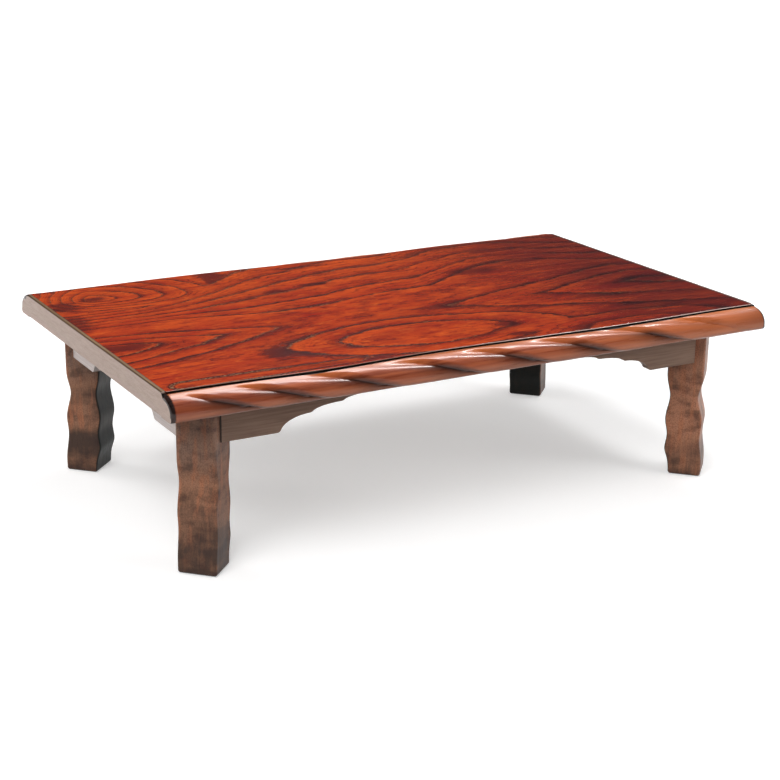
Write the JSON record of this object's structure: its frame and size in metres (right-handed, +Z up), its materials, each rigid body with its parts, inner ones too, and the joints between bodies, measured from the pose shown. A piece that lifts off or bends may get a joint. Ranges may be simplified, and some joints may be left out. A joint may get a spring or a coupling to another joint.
{
  "type": "low table with folding legs",
  "caption": "Low rectangular table with a lacquered figured-wood top, rope-carved front and back edges, scalloped aprons and wavy corner legs that fold inwards.",
  "frame": {"origin": "on the floor under the middle of the top", "axes": "+X along the length, +Y from front to back, +Z up"},
  "size_m": [1.2, 0.75, 0.34],
  "materials": {
    "zelkova_veneer": "clear gloss lacquer over red-stained figured veneer",
    "carved_edge": "gloss lacquer over brown-red stain",
    "end_edge": "satin lacquer",
    "apron_wood": "satin dark brown stain",
    "leg_wood": "satin dark brown stain",
    "core_wood": "bare softwood",
    "plywood": "bare plywood with a thin sealer",
    "hinge_steel": "zinc-plated pressed steel",
    "screw_steel": "zinc-plated",
    "felt": "dense brown felt"
  },
  "bodies": {
    "top": {"back_apron": "apron_wood", "back_apron_blocks": "core_wood", "back_core_rail": "core_wood", "back_moulding": "carved_edge", "base_screws_back_left": "screw_steel", "base_screws_back_right": "screw_steel", "base_screws_front_left": "screw_steel", "base_screws_front_right": "screw_steel", "block_screws": "screw_steel", "front_apron": "apron_wood", "front_apron_blocks": "core_wood", "front_core_rail": "core_wood", "front_moulding": "carved_edge", "hinge_base_back_left": "hinge_steel", "hinge_base_back_right": "hinge_steel", "hinge_base_front_left": "hinge_steel", "hinge_base_front_right": "hinge_steel", "hinge_pin_back_left": "hinge_steel", "hinge_pin_back_right": "hinge_steel", "hinge_pin_front_left": "hinge_steel", "hinge_pin_front_right": "hinge_steel", "hinge_washers_back_left": "hinge_steel", "hinge_washers_back_right": "hinge_steel", "hinge_washers_front_left": "hinge_steel", "hinge_washers_front_right": "hinge_steel", "left_apron": "apron_wood", "left_apron_blocks": "core_wood", "left_core_rail": "core_wood", "left_cross_rail": "core_wood", "left_end_rail": "end_edge", "left_hinge_rail": "core_wood", "middle_cross_rail": "core_wood", "right_apron": "apron_wood", "right_apron_blocks": "core_wood", "right_core_rail": "core_wood", "right_cross_rail": "core_wood", "right_end_rail": "end_edge", "right_hinge_rail": "core_wood", "top_veneer": "zelkova_veneer", "underside_panel": "plywood"},
    "front_left_leg": {"leg_front_left": "leg_wood", "foot_pad_front_left": "felt", "hinge_leaf_front_left": "hinge_steel", "leaf_screws_front_left": "screw_steel"},
    "front_right_leg": {"leg_front_right": "leg_wood", "foot_pad_front_right": "felt", "hinge_leaf_front_right": "hinge_steel", "leaf_screws_front_right": "screw_steel"},
    "back_left_leg": {"leg_back_left": "leg_wood", "foot_pad_back_left": "felt", "hinge_leaf_back_left": "hinge_steel", "leaf_screws_back_left": "screw_steel"},
    "back_right_leg": {"leg_back_right": "leg_wood", "foot_pad_back_right": "felt", "hinge_leaf_back_right": "hinge_steel", "leaf_screws_back_right": "screw_steel"}
  },
  "joints": [
    {"name": "front_left_leg_fold", "type": "hinge", "parent": "top", "child": "front_left_leg", "pos_m": [-0.47606, -0.24206, 0.303], "axis": [0.7071, -0.7071, 0], "range_deg": [0, 90]},
    {"name": "front_right_leg_fold", "type": "hinge", "parent": "top", "child": "front_right_leg", "pos_m": [0.47606, -0.24206, 0.303], "axis": [0.7071, 0.7071, 0], "range_deg": [0, 90]},
    {"name": "back_left_leg_fold", "type": "hinge", "parent": "top", "child": "back_left_leg", "pos_m": [-0.47606, 0.24206, 0.303], "axis": [-0.7071, -0.7071, 0], "range_deg": [0, 90]},
    {"name": "back_right_leg_fold", "type": "hinge", "parent": "top", "child": "back_right_leg", "pos_m": [0.47606, 0.24206, 0.303], "axis": [-0.7071, 0.7071, 0], "range_deg": [0, 90]}
  ]
}
